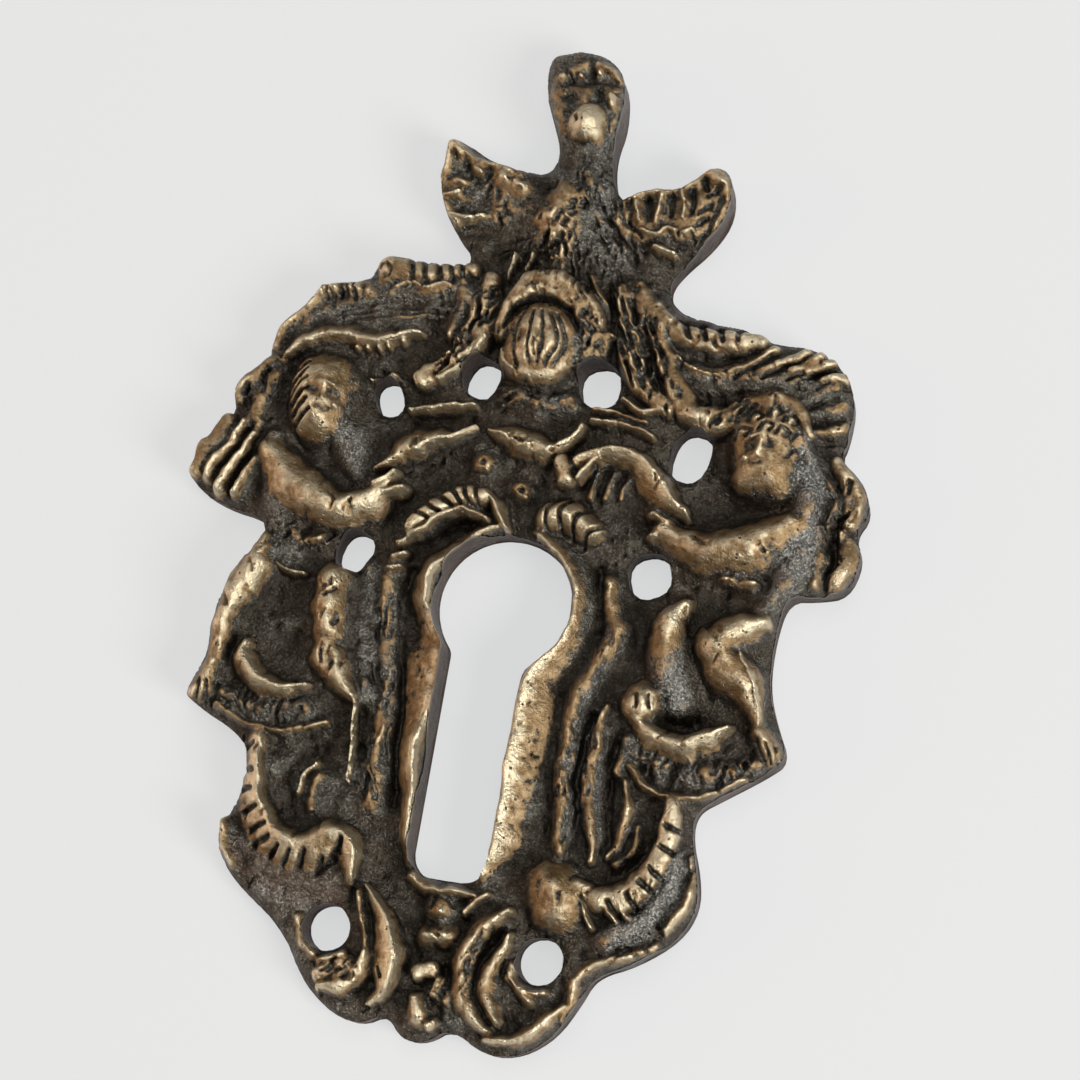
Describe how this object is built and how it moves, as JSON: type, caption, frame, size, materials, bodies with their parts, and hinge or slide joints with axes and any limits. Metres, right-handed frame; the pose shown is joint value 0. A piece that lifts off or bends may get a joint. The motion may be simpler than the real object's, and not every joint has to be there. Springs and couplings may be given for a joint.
{
  "type": "keyhole escutcheon",
  "caption": "Pierced cast brass keyhole escutcheon carved with a bird, leaves, child figures and scrolls, fixed by pins round a keyhole.",
  "frame": {"origin": "on the flat back, at the axis of the key in the round of the keyhole", "axes": "+X to the right seen from the front, +Y up towards the bird, +Z out of the carved face"},
  "size_m": [0.0605, 0.0896, 0.0076],
  "materials": {
    "patinated_brass": "dark brown patina, rubbed to bare brass on the high points"
  },
  "bodies": {
    "root": {"escutcheon": "patinated_brass"}
  },
  "joints": []
}
